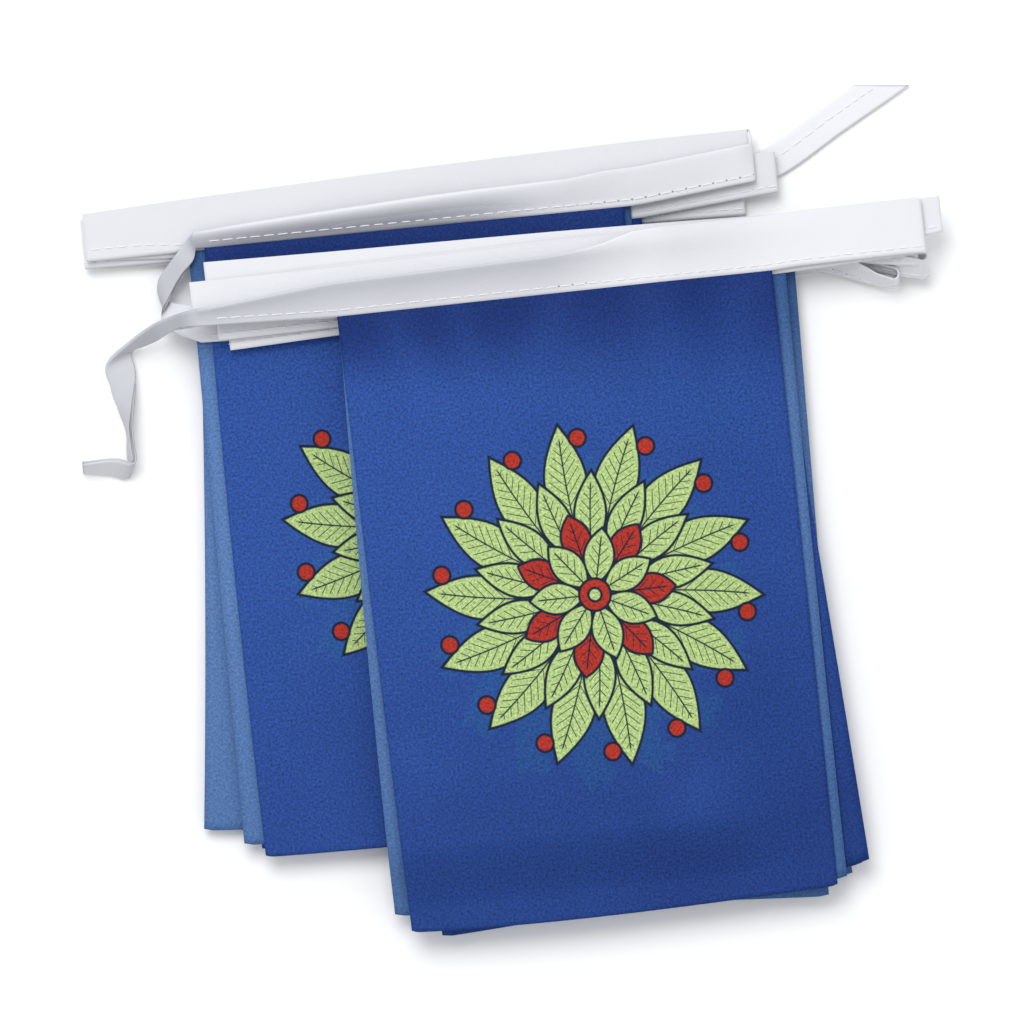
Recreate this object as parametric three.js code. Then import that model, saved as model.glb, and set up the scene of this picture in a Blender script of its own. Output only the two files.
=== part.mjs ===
// A string of flag bunting, folded flat. Seventeen cloth flags hang from one long white tape. The tape is laid
// back and forth in two stacks of flags, and the front stack lies over the right part of the back stack.
// Millimetres. X runs to the right, Y towards the heads of the flags, Z up from the table that it lies on.

import * as THREE from "three";

const CLOTH = 1.0; // thickness of a sheet of cloth
const GAP = 0.35; // air between two sheets that lie on each other
const PITCH = CLOTH + GAP; // rise from one level of a stack to the next
const SEAM_GAP = 0.3; // between the tape's lower edge and the head of a flag
const FLAG_HALF = 75; // the tape is straight along the flag, this far to each side of a stack's middle
const BEND_STEPS = 4; // pieces in a half turn of the tape

// Each stack has a frame of its own. u runs along the tape, and v from the flags' feet to their heads.
// x and y are where u = v = 0 lies, the middle of the top flag's head, and turn is u's angle to X.
const BACK = { name: "back", x: -31.0, y: 98.1, turn: 5.63 };
const FRONT = { name: "front", x: 14.3, y: 74.8, turn: 6.15 };

// Where the tape folds back on itself, from the table up. at is the fold's u, low the v of the tape's lower
// edge there, and under and over are the tape's width in the level below the fold and in the one above it.
// neck, where it is given, is the v of the lower edge at the start of the last NECK millimetres.
const NECK = 24;
const BACK_FOLDS = [
  { at: 104.0, low: 0.0, under: 12.0, over: 12.0 },
  { at: -110.0, low: -2.0, under: 17.0, over: 17.0 },
  { at: 110.8, low: -6.8, under: 15.0, over: 15.0 },
  { at: -116.0, low: -3.1, under: 17.0, over: 17.0 },
  { at: 122.6, low: -0.1, under: 14.0, over: 14.0 },
  { at: -115.2, low: -0.7, under: 16.5, over: 16.5 },
  { at: 115.0, low: 4.3, under: 18.2, over: 12.0 },
  { at: -78.3, low: 0.2, under: 5.0, over: 5.0 },
];
const FRONT_FOLDS = [
  { at: -122.4, low: -3.6, under: 12.0, over: 12.0 },
  { at: 116.6, low: -10.2, under: 9.5, over: 9.5, neck: -1.6 },
  { at: -111.6, low: -7.4, under: 15.0, over: 15.0 },
  { at: 127.2, low: -9.0, under: 9.5, over: 9.5, neck: -1.2 },
  { at: -115.2, low: -3.7, under: 17.0, over: 17.0 },
  { at: 125.2, low: -3.6, under: 14.0, over: 14.0, neck: 0.2 },
  { at: -117.4, low: 4.6, under: 19.0, over: 19.0 },
  { at: 134.8, low: 6.9, under: 12.4, over: 12.4 },
  { at: -123.0, low: 2.0, under: 15.2, over: 15.2 },
  { at: 128.2, low: 0.9, under: 18.0, over: 16.4 },
  { at: -121.6, low: 1.9, under: 5.3, over: 5.3 },
];

// One row for each level of a stack, from the table up: the v of the tape's lower edge at the flag's left and
// right side, and the tape's width at the left side, the middle and the right side.
const BACK_LEVELS = [
  { seamLeft: -1.0, seamRight: -1.0, wideLeft: 19.0, wideMiddle: 19.0, wideRight: 19.0 },
  { seamLeft: -5.0, seamRight: -6.0, wideLeft: 19.0, wideMiddle: 19.0, wideRight: 19.0 },
  { seamLeft: -5.0, seamRight: -6.0, wideLeft: 19.0, wideMiddle: 19.0, wideRight: 19.0 },
  { seamLeft: -3.6, seamRight: -4.4, wideLeft: 18.0, wideMiddle: 19.0, wideRight: 19.0 },
  { seamLeft: -3.0, seamRight: -4.4, wideLeft: 18.0, wideMiddle: 19.0, wideRight: 19.0 },
  { seamLeft: -0.6, seamRight: 3.4, wideLeft: 18.4, wideMiddle: 19.0, wideRight: 18.8 },
  { seamLeft: 0.0, seamRight: 0.0, wideLeft: 5.6, wideMiddle: 10.4, wideRight: 12.4 },
];
const FRONT_LEVELS = [
  { seamLeft: -5.8, seamRight: -3.0, wideLeft: 17.0, wideMiddle: 19.0, wideRight: 19.0 },
  { seamLeft: -6.2, seamRight: -3.0, wideLeft: 18.0, wideMiddle: 19.0, wideRight: 19.0 },
  { seamLeft: -6.2, seamRight: -2.4, wideLeft: 18.0, wideMiddle: 19.0, wideRight: 19.0 },
  { seamLeft: -3.4, seamRight: -1.8, wideLeft: 19.0, wideMiddle: 19.0, wideRight: 19.0 },
  { seamLeft: -3.4, seamRight: -1.6, wideLeft: 19.0, wideMiddle: 19.0, wideRight: 19.0 },
  { seamLeft: 3.4, seamRight: 0.4, wideLeft: 19.2, wideMiddle: 19.4, wideRight: 19.0 },
  { seamLeft: 3.4, seamRight: 0.4, wideLeft: 19.2, wideMiddle: 19.4, wideRight: 19.0 },
  { seamLeft: 0.5, seamRight: -1.0, wideLeft: 17.4, wideMiddle: 18.6, wideRight: 19.0 },
  { seamLeft: -0.4, seamRight: -1.4, wideLeft: 17.4, wideMiddle: 18.6, wideRight: 19.0 },
  { seamLeft: 0.0, seamRight: 0.0, wideLeft: 11.4, wideMiddle: 12.4, wideRight: 18.6 },
];

// One row for each flag, from the table up: the u of its head's ends, the u of its foot's ends, and how far
// below v = 0 the foot's ends lie. A flag is 150 wide and 210 long, and the cloth's lie draws the foot in.
const BACK_FLAGS = [
  { headLeft: -74.0, headRight: 75.0, footLeft: -76.0, dropLeft: 209.0, footRight: 72.0, dropRight: 209.0 },
  { headLeft: -75.0, headRight: 74.0, footLeft: -79.0, dropLeft: 205.0, footRight: 69.0, dropRight: 208.0 },
  { headLeft: -73.0, headRight: 75.8, footLeft: -77.0, dropLeft: 207.0, footRight: 71.0, dropRight: 208.0 },
  { headLeft: -77.5, headRight: 71.5, footLeft: -95.2, dropLeft: 200.2, footRight: 53.0, dropRight: 209.0 },
  { headLeft: -73.0, headRight: 76.0, footLeft: -78.0, dropLeft: 206.0, footRight: 70.0, dropRight: 208.0 },
  { headLeft: -78.5, headRight: 72.8, footLeft: -81.8, dropLeft: 206.5, footRight: 67.0, dropRight: 209.0 },
  { headLeft: -75.3, headRight: 70.0, footLeft: -74.8, dropLeft: 211.3, footRight: 70.0, dropRight: 211.8 },
];
const FRONT_FLAGS = [
  { headLeft: -75.0, headRight: 75.0, footLeft: -74.0, dropLeft: 208.0, footRight: 75.0, dropRight: 210.5 },
  { headLeft: -74.0, headRight: 76.0, footLeft: -71.0, dropLeft: 209.0, footRight: 77.0, dropRight: 211.0 },
  { headLeft: -72.0, headRight: 77.0, footLeft: -69.0, dropLeft: 211.0, footRight: 81.5, dropRight: 210.4 },
  { headLeft: -74.0, headRight: 76.0, footLeft: -70.0, dropLeft: 211.5, footRight: 79.0, dropRight: 211.0 },
  { headLeft: -66.0, headRight: 84.0, footLeft: -71.0, dropLeft: 212.0, footRight: 79.0, dropRight: 210.2 },
  { headLeft: -71.0, headRight: 79.0, footLeft: -66.0, dropLeft: 213.0, footRight: 84.9, dropRight: 207.2 },
  { headLeft: -74.0, headRight: 76.0, footLeft: -77.1, dropLeft: 207.6, footRight: 72.5, dropRight: 216.8 },
  { headLeft: -74.5, headRight: 75.5, footLeft: -61.6, dropLeft: 216.5, footRight: 87.6, dropRight: 206.1 },
  { headLeft: -71.0, headRight: 80.6, footLeft: -70.6, dropLeft: 211.0, footRight: 79.3, dropRight: 211.0 },
  { headLeft: -74.7, headRight: 75.9, footLeft: -71.9, dropLeft: 213.7, footRight: 75.8, dropRight: 213.3 },
];

// The front stack lies on the back one and falls to the table past its right side and its foot. The columns
// of u and the rows of v carry that fall, and every front sheet has its corners on them.
const FALL = { rightFrom: 36, rightTo: 70, footFrom: -186, footTo: -205.5 };
const FRONT_COLUMNS = [-37, 0, 36, 43, 50, 57, 64, 70];
const FRONT_ROWS = [-45, -90, -135, -186, -191, -196, -201, -205.5];
const BACK_COLUMNS = [0];
const BACK_ROWS = [-70, -140];

// The tape from the back stack's top level to the front stack's lowest: a narrow strip that comes down to the
// left, turns over and goes in under the front stack. low is the edge that the flags are sewn to.
const LINK = [
  { lowX: -109.6, lowY: 87.6, lowZ: 8.6, topX: -113.0, topY: 92.0, topZ: 8.4 },
  { lowX: -113.4, lowY: 81.0, lowZ: 7.2, topX: -118.2, topY: 85.0, topZ: 6.4 },
  { lowX: -116.6, lowY: 75.6, lowZ: 6.4, topX: -122.1, topY: 79.0, topZ: 3.6 },
  { lowX: -118.0, lowY: 72.9, lowZ: 7.6, topX: -121.6, topY: 75.4, topZ: 2.0 },
  { lowX: -119.6, lowY: 70.6, lowZ: 8.3, topX: -120.6, topY: 72.2, topZ: 1.7 },
  { lowX: -119.4, lowY: 67.4, lowZ: 8.6, topX: -118.2, topY: 71.2, topZ: 3.2 },
  { lowX: -115.6, lowY: 63.6, lowZ: 8.8, topX: -114.6, topY: 70.6, topZ: 6.6 },
];

// The tape's free end at the top right. It comes off the table-side level of the back stack and is cut square
// to Y.
const RIGHT_END = [
  { lowX: 137.6, lowY: 147.2, lowZ: 0.8, topX: 118.8, topY: 147.2, topZ: 0.8 },
  { lowX: 114.5, lowY: 131.2, lowZ: 0.8, topX: 107.8, topY: 139.4, topZ: 0.8 },
  { lowX: 91.9, lowY: 115.4, lowZ: 0.6, topX: 85.4, topY: 123.6, topZ: 0.6 },
];

// The tape's free end at the lower left. It leaves the front stack's top level, comes down to the table, turns
// towards the flags' feet, stands up on one edge and turns left.
const LEFT_END = [
  { lowX: -113.2, lowY: 63.2, lowZ: 21.6, topX: -113.6, topY: 67.4, topZ: 22.2 },
  { lowX: -117.4, lowY: 61.6, lowZ: 15.5, topX: -118.6, topY: 65.6, topZ: 19.0 },
  { lowX: -122.9, lowY: 58.6, lowZ: 7.6, topX: -124.3, topY: 63.0, topZ: 12.6 },
  { lowX: -127.6, lowY: 56.8, lowZ: 3.0, topX: -131.6, topY: 57.6, topZ: 7.4 },
  { lowX: -131.0, lowY: 55.4, lowZ: 1.2, topX: -138.8, topY: 51.6, topZ: 2.2 },
  { lowX: -130.0, lowY: 48.6, lowZ: 2.2, topX: -138.2, topY: 43.6, topZ: 0.8 },
  { lowX: -131.0, lowY: 37.1, lowZ: 6.6, topX: -135.6, topY: 35.0, topZ: 0.7 },
  { lowX: -131.7, lowY: 28.4, lowZ: 8.2, topX: -132.9, topY: 26.6, topZ: 0.7 },
  { lowX: -130.9, lowY: 21.6, lowZ: 8.0, topX: -132.8, topY: 20.0, topZ: 0.7 },
  { lowX: -130.6, lowY: 17.2, lowZ: 7.4, topX: -132.4, topY: 12.6, topZ: 0.7 },
  { lowX: -136.0, lowY: 17.9, lowZ: 7.2, topX: -138.0, topY: 13.2, topZ: 0.7 },
  { lowX: -148.1, lowY: 16.8, lowZ: 7.8, topX: -148.1, topY: 13.9, topZ: 0.7 },
];

const MATERIAL = {
  tape: { color: 0xf1f2f6, roughness: 0.42, metalness: 0 },
  face: { color: 0x2a4b9a, roughness: 0.72, metalness: 0 },
  reverse: { color: 0x557ab9, roughness: 0.78, metalness: 0 },
};

const BACK_HEIGHT = BACK_LEVELS.length * PITCH;

// 1 before from, 0 past to, and a fall between them that is a little softer at its ends than a straight one.
function fall(value, from, to) {
  const straight = THREE.MathUtils.clamp((value - from) / (to - from), 0, 1);
  return 1 - (straight + THREE.MathUtils.smoothstep(straight, 0, 1)) / 2;
}

// How far the front stack is lifted by the back one.
function lift(u, v) {
  return BACK_HEIGHT * fall(u, FALL.rightFrom, FALL.rightTo) * fall(v, FALL.footFrom, FALL.footTo);
}

// The height of the middle of a level's cloth.
function height(stack, level, u, v) {
  return CLOTH / 2 + level * PITCH + (stack === FRONT ? lift(u, v) : 0);
}

// A closed sheet. grid[i][j] holds a point of its middle surface, at, and half its thickness there, half.
function sheetGeometry(grid) {
  const rows = grid.length;
  const columns = grid[0].length;
  const positions = [];
  for (const side of [1, -1])
    for (const row of grid)
      for (const cell of row) positions.push(...cell.at.clone().addScaledVector(cell.half, side).toArray());

  const id = (i, j, under) => under * rows * columns + i * columns + j;
  const faces = [];
  const quad = (a, b, c, d) => faces.push(a, b, c, a, c, d);
  for (let i = 0; i + 1 < rows; i++)
    for (let j = 0; j + 1 < columns; j++) {
      quad(id(i, j, 0), id(i, j + 1, 0), id(i + 1, j + 1, 0), id(i + 1, j, 0));
      quad(id(i, j, 1), id(i + 1, j, 1), id(i + 1, j + 1, 1), id(i, j + 1, 1));
    }
  for (let i = 0; i + 1 < rows; i++) {
    quad(id(i, 0, 0), id(i + 1, 0, 0), id(i + 1, 0, 1), id(i, 0, 1));
    quad(id(i + 1, columns - 1, 0), id(i, columns - 1, 0), id(i, columns - 1, 1), id(i + 1, columns - 1, 1));
  }
  for (let j = 0; j + 1 < columns; j++) {
    quad(id(0, j + 1, 0), id(0, j, 0), id(0, j, 1), id(0, j + 1, 1));
    quad(id(rows - 1, j, 0), id(rows - 1, j + 1, 0), id(rows - 1, j + 1, 1), id(rows - 1, j, 1));
  }
  const geometry = new THREE.BufferGeometry();
  geometry.setAttribute("position", new THREE.Float32BufferAttribute(positions, 3));
  geometry.setIndex(faces);
  geometry.computeVertexNormals();
  return geometry;
}

// A flag in its stack's frame: straight rows and columns between its own four edges.
function flagGeometry(stack, level, flag, seam, columns, rows) {
  const half = new THREE.Vector3(0, 0, CLOTH / 2);
  const head = (u) => {
    const along = (u + FLAG_HALF) / (2 * FLAG_HALF);
    return THREE.MathUtils.lerp(seam.seamLeft, seam.seamRight, along) - SEAM_GAP;
  };
  const foot = (u) => {
    const along = (u - flag.footLeft) / (flag.footRight - flag.footLeft);
    return -THREE.MathUtils.lerp(flag.dropLeft, flag.dropRight, along);
  };
  const side = (headU, footU, v, drop) => {
    const down = (head(headU) - v) / (drop + head(headU));
    return THREE.MathUtils.lerp(headU, footU, down);
  };
  const row = (vAt) => {
    const first = side(flag.headLeft, flag.footLeft, vAt(flag.headLeft), flag.dropLeft);
    const last = side(flag.headRight, flag.footRight, vAt(flag.headRight), flag.dropRight);
    return [first, ...columns, last].map((u) => {
      const v = vAt(u);
      return { at: new THREE.Vector3(u, v, height(stack, level, u, v)), half };
    });
  };
  return sheetGeometry([row(foot), ...rows.toReversed().map((v) => row(() => v)), row(head)]);
}

// The tape's places along one level, each with its u, its lower edge's v and its width. start and end are the
// folds that it runs between.
function levelPlaces(stack, level, row, start, end) {
  const [left, right] = start.at < end.at ? [start, end] : [end, start];
  const [leftWidth, rightWidth] = left === start ? [start.over, end.under] : [end.under, start.over];
  const places = [{ u: left.at, low: left.low, wide: leftWidth }];
  places.push({ u: -FLAG_HALF, low: row.seamLeft, wide: row.wideLeft });
  places.push({ u: 0, low: (row.seamLeft + row.seamRight) / 2, wide: row.wideMiddle });
  if (stack === FRONT) {
    const middle = places.at(-1);
    for (const u of FRONT_COLUMNS.filter((column) => column > 0)) {
      const along = u / FLAG_HALF;
      const low = THREE.MathUtils.lerp(middle.low, row.seamRight, along);
      places.push({ u, low, wide: THREE.MathUtils.lerp(row.wideMiddle, row.wideRight, along) });
    }
  }
  places.push({ u: FLAG_HALF, low: row.seamRight, wide: row.wideRight });
  if (right.neck !== undefined)
    places.push({ u: right.at - NECK, low: right.neck, wide: (row.wideRight + rightWidth) / 2 });
  places.push({ u: right.at, low: right.low, wide: rightWidth });
  return left === start ? places : places.reverse();
}

// One cross section of the tape in a stack's frame, as its two edges and half its thickness.
function section(u, low, wide, z, half) {
  return { low: new THREE.Vector3(u, low, z), top: new THREE.Vector3(u, low + wide, z), half };
}

// The half turn of the tape from one level up to the next, without its two ends.
function bend(stack, level, fold) {
  const outward = Math.sign(fold.at);
  const z = (height(stack, level, fold.at, fold.low) + height(stack, level + 1, fold.at, fold.low)) / 2;
  const sections = [];
  for (let step = 1; step < BEND_STEPS; step++) {
    const angle = (step / BEND_STEPS - 0.5) * Math.PI;
    const u = fold.at + (outward * Math.cos(angle) * PITCH) / 2;
    const wide = THREE.MathUtils.lerp(fold.under, fold.over, step / BEND_STEPS);
    const half = new THREE.Vector3(-Math.cos(angle), 0, -outward * Math.sin(angle)).multiplyScalar(CLOTH / 2);
    sections.push(section(u, fold.low, wide, z + (Math.sin(angle) * PITCH) / 2, half));
  }
  return sections;
}

// All of the tape's cross sections in one stack, moved to the part's frame.
function stackSections(stack, folds, levels) {
  const sections = [];
  levels.forEach((row, level) => {
    const [start, end] = [folds[level], folds[level + 1]];
    const direction = Math.sign(end.at - start.at);
    const half = new THREE.Vector3(0, 0, (direction * CLOTH) / 2);
    for (const { u, low, wide } of levelPlaces(stack, level, row, start, end))
      sections.push(section(u, low, wide, height(stack, level, u, low), half));
    if (level + 1 < levels.length) sections.push(...bend(stack, level, end));
  });
  const frame = frameOf(stack);
  const turnOnly = new THREE.Matrix4().extractRotation(frame);
  return sections.map(({ low, top, half }) => ({
    low: low.applyMatrix4(frame),
    top: top.applyMatrix4(frame),
    half: half.clone().applyMatrix4(turnOnly),
  }));
}

function frameOf(stack) {
  const turned = new THREE.Matrix4().makeRotationZ(THREE.MathUtils.degToRad(stack.turn));
  return turned.setPosition(stack.x, stack.y, 0);
}

// The rows of a table as cross sections. Their thickness is worked out later, from their neighbours.
function freeSections(table) {
  return table.map((row) => ({
    low: new THREE.Vector3(row.lowX, row.lowY, row.lowZ),
    top: new THREE.Vector3(row.topX, row.topY, row.topZ),
  }));
}

// The tape as one closed strip through all of its cross sections.
function tapeGeometry() {
  const sections = [
    ...freeSections(RIGHT_END),
    ...stackSections(BACK, BACK_FOLDS, BACK_LEVELS),
    ...freeSections(LINK),
    ...stackSections(FRONT, FRONT_FOLDS, FRONT_LEVELS),
    ...freeSections(LEFT_END),
  ];
  const middle = ({ low, top }) => low.clone().add(top).multiplyScalar(0.5);
  const grid = sections.map((place, i) => {
    const before = middle(sections[Math.max(i - 1, 0)]);
    const after = middle(sections[Math.min(i + 1, sections.length - 1)]);
    const across = place.top.clone().sub(place.low);
    const normal = after.sub(before).cross(across).setLength(CLOTH / 2);
    const half = place.half ?? normal;
    return [{ at: place.low, half }, { at: place.top, half }];
  });
  return sheetGeometry(grid.reverse());
}

function named(name, geometry, look) {
  const mesh = new THREE.Mesh(geometry, new THREE.MeshStandardMaterial(look));
  mesh.name = name;
  return mesh;
}

// A stack's flags, in the stack's frame. The top one has its printed face up, and they alternate down from it.
function flagStack(stack, flags, levels, columns, rows) {
  const group = new THREE.Group();
  group.position.set(stack.x, stack.y, 0);
  group.rotation.z = THREE.MathUtils.degToRad(stack.turn);
  flags.forEach((flag, level) => {
    const faceUp = (flags.length - 1 - level) % 2 === 0;
    const look = faceUp ? MATERIAL.face : MATERIAL.reverse;
    const geometry = flagGeometry(stack, level, flag, levels[level], columns, rows);
    group.add(named(`flag_${stack.name}_${level + 1}`, geometry, look));
  });
  return group;
}

const bunting = new THREE.Group();
bunting.add(named("header_tape", tapeGeometry(), MATERIAL.tape));
bunting.add(flagStack(BACK, BACK_FLAGS, BACK_LEVELS, BACK_COLUMNS, BACK_ROWS));
bunting.add(flagStack(FRONT, FRONT_FLAGS, FRONT_LEVELS, FRONT_COLUMNS, FRONT_ROWS));

// The origin lies on the table, under the middle of the part's box.
bunting.updateMatrixWorld(true);
const box = new THREE.Box3().setFromObject(bunting, true);
const centre = box.getCenter(new THREE.Vector3());
bunting.position.set(-centre.x, -centre.y, -box.min.z);

export default bunting;
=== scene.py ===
# %% [markdown]
# # A string of flag bunting, folded flat
#
# The object is one long white tape with seventeen blue cloth flags sewn into it. It is folded
# back and forth in two stacks, and the front stack lies over the right part of the back stack.
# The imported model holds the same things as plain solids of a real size, so it comes in first, as
# the frame that everything here is fitted to.

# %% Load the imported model
import math
from collections import namedtuple

import bpy
import numpy as np
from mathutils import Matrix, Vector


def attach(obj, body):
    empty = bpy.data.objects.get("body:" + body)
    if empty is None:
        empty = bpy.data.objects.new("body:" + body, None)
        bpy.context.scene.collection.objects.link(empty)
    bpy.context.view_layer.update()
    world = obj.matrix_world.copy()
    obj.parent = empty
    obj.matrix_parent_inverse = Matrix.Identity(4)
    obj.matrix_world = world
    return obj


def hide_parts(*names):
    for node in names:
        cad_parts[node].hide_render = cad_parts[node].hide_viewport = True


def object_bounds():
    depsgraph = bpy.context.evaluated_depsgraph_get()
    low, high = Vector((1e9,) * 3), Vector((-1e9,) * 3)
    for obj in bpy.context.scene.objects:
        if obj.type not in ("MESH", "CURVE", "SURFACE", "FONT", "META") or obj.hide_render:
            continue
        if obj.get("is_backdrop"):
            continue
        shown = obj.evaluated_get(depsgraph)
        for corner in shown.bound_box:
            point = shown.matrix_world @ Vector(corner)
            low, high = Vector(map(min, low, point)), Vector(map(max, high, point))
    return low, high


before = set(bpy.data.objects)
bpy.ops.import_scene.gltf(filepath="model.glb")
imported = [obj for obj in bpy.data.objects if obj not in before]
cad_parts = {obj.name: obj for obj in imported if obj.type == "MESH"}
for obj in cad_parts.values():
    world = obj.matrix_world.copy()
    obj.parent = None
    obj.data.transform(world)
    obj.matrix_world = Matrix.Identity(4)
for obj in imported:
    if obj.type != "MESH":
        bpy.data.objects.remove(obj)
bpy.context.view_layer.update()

scene = bpy.context.scene
print("nodes in the frame:", len(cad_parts))

# %% [markdown]
# ## Camera, floor and light
#
# The picture was taken from straight above. A long lens from nearly four metres up keeps the
# raised layers in their place, as an orthographic camera would, but it still works for views from
# the side. The light is plain: an even pale sky for the shadows, and one large soft lamp beyond
# the flags' heads, so that cloth which leans towards the viewer turns a little grey.

# %% Camera straight above
MM = 0.001
LENS, SENSOR = 400.0, 36.0
SEEN_WIDTH = 353.1 * MM
SEEN_CENTRE = (0.28 * MM, -0.42 * MM)
MIDDLE_HEIGHT = 11.0 * MM

camera_data = bpy.data.cameras.new("camera")
camera_data.lens = LENS
camera_data.sensor_width = SENSOR
camera_data.clip_end = 50.0
camera = bpy.data.objects.new("camera", camera_data)
camera.location = (*SEEN_CENTRE, SEEN_WIDTH * LENS / SENSOR + MIDDLE_HEIGHT)
scene.collection.objects.link(camera)
scene.camera = camera
print("camera height in m:", round(camera.location.z, 3))

# %% Floor, sky and lamp
floor_mesh = bpy.data.meshes.new("floor")
floor_mesh.from_pydata([(-8, -8, 0), (8, -8, 0), (8, 8, 0), (-8, 8, 0)], [], [(0, 1, 2, 3)])
floor = bpy.data.objects.new("floor", floor_mesh)
scene.collection.objects.link(floor)
floor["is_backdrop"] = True
paper = bpy.data.materials.new("floor_paper")
paper.use_nodes = True
paper.node_tree.nodes["Principled BSDF"].inputs["Base Color"].default_value = (0.98, 0.98, 0.98, 1)
paper.node_tree.nodes["Principled BSDF"].inputs["Roughness"].default_value = 0.9
floor_mesh.materials.append(paper)

sky = bpy.data.worlds.new("sky")
sky.use_nodes = True
sky.node_tree.nodes["Background"].inputs["Color"].default_value = (0.97, 0.985, 1, 1)
sky.node_tree.nodes["Background"].inputs["Strength"].default_value = 0.74
scene.world = sky

lamp_data = bpy.data.lights.new("lamp", "AREA")
lamp_data.shape = "DISK"
lamp_data.size = 1.5
lamp_data.energy = 29.0
lamp = bpy.data.objects.new("lamp", lamp_data)
lamp.location = (-0.45, 1.15, 1.95)  # beyond the flags' heads, a little to the left
lamp.rotation_mode = "QUATERNION"
lamp.rotation_quaternion = (-lamp.location).to_track_quat("-Z", "Y")
scene.collection.objects.link(lamp)
scene.view_settings.view_transform = "Standard"

# %% [markdown]
# ## The tables
#
# These are the sizes that the solids were made from, in millimetres. Only one flag's corner and three
# folds were moved afterwards, by up to 2.5 mm, to follow the picture. Each stack has a frame of its own:
# u runs along the tape and v from the flags' feet to their heads. A row of a table is one flag, one level
# of the tape or one place where the tape folds back on itself, from the lowest up.

# %% Sizes of cloth, tape and stacks
FLOOR_TO_FIRST = 0.5  # height of the middle of the lowest cloth
PITCH = 1.35  # rise from one level to the next
FLAG_HALF, FLAG_LONG, FLAG_THICK = 75.0, 210.0, 0.24
TUCK = 3.6  # how far a flag's head goes into the tape
TAPE_WIDE = 19.0  # the tape is 38 wide and folded over the flags' heads
TAPE_HALF = 0.31  # half the thickness of the folded tape
SLIT_HALF = 0.13  # half the gap between the folded tape's two walls
SEAM = 2.2  # from the sewn edge to the stitches
SEAM_HIDDEN = -9.0  # where the seam lies under a fold
STITCH_STEP = 4.75  # from one needle hole to the next
NECK = 24.0  # how far before a fold a level may change its course
MOVED = np.array([0.1100922, -0.0738835, 0.0])  # the solids' box is centred on the origin

# Each stack's place, its turn in degrees, and the painted shade that greys its hidden levels, which lie
# under the others.
BACK = {"name": "back", "x": -31.0, "y": 98.1, "turn": 5.63, "painted_grey": 0.16}
FRONT = {"name": "front", "x": 14.3, "y": 74.8, "turn": 6.15, "painted_grey": 0.08}

# Folds: at is u, low the v of the tape's lower edge, under and over its width below and above the
# fold, and gap the width of the loop. Where the tape turns up on its edge, neck is the lower
# edge's v just before the fold, and stand is the turn in degrees.
Fold = namedtuple("Fold", "at low under over gap neck stand", defaults=(None, 0))
BACK_FOLDS = [
    (104, 0, 12, 12, 1.4),
    (-110, -2, 17, 17, 1.6),
    (110.8, -6.8, 15, 15, 1.5),
    (-116, -3.1, 17, 17, 1.8),
    (122.6, -0.1, 14, 14, 1.8),
    (-115.2, -0.7, 16.5, 16.5, 1.5),
    (115, 4.3, 18.2, 12, 2),
    (-78.3, 0.2, 5, 5, 1.4),
]
FRONT_FOLDS = [
    (-122.4, -3.6, 12, 12, 1.5),
    (117, -8.4, 9.5, 9.5, 4.6, -1.6, 72),
    (-111.6, -7.4, 15, 15, 1.6),
    (127.4, -7, 9.5, 9.5, 4.4, -1.2, 48),
    (-115.2, -3.7, 17, 17, 1.6),
    (125.2, -3.6, 14, 14, 2.2, 0.2, 8),
    (-117.4, 4.6, 19, 19, 1.7),
    (134.8, 6.9, 12.4, 12.4, 1.7),
    (-123, 2, 15.2, 15.2, 1.7),
    (128.2, 0.1, 18, 16.4, 1.7),
    (-121.6, 1.9, 5.3, 5.3, 1.4),
]

# Levels: the v of the tape's lower edge at the flag's left and right side, and the tape's width
# at the left, in the middle and at the right.
BACK_LEVELS = [
    (-1, -1, 19, 19, 19),
    (-5, -6, 19, 19, 19),
    (-5, -6, 19, 19, 19),
    (-3.6, -4.4, 18, 19, 19),
    (-3, -4.4, 18, 19, 19),
    (-0.6, 3.4, 18.4, 19, 18.8),
    (0, 0, 5.6, 10.4, 12.4),
]
FRONT_LEVELS = [
    (-5.8, -3, 17, 19, 19),
    (-6.2, -3, 18, 19, 19),
    (-6.2, -2.4, 18, 19, 19),
    (-3.4, -1.8, 19, 19, 19),
    (-3.4, -1.6, 19, 19, 19),
    (3.4, 0.4, 19.2, 19.4, 19),
    (3.4, 0.4, 19.2, 19.4, 19),
    (0.5, -1, 17.4, 18.6, 19),
    (-0.4, -1.4, 17.4, 18.6, 19),
    (0, 0, 11.4, 12.4, 18.6),
]

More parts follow.
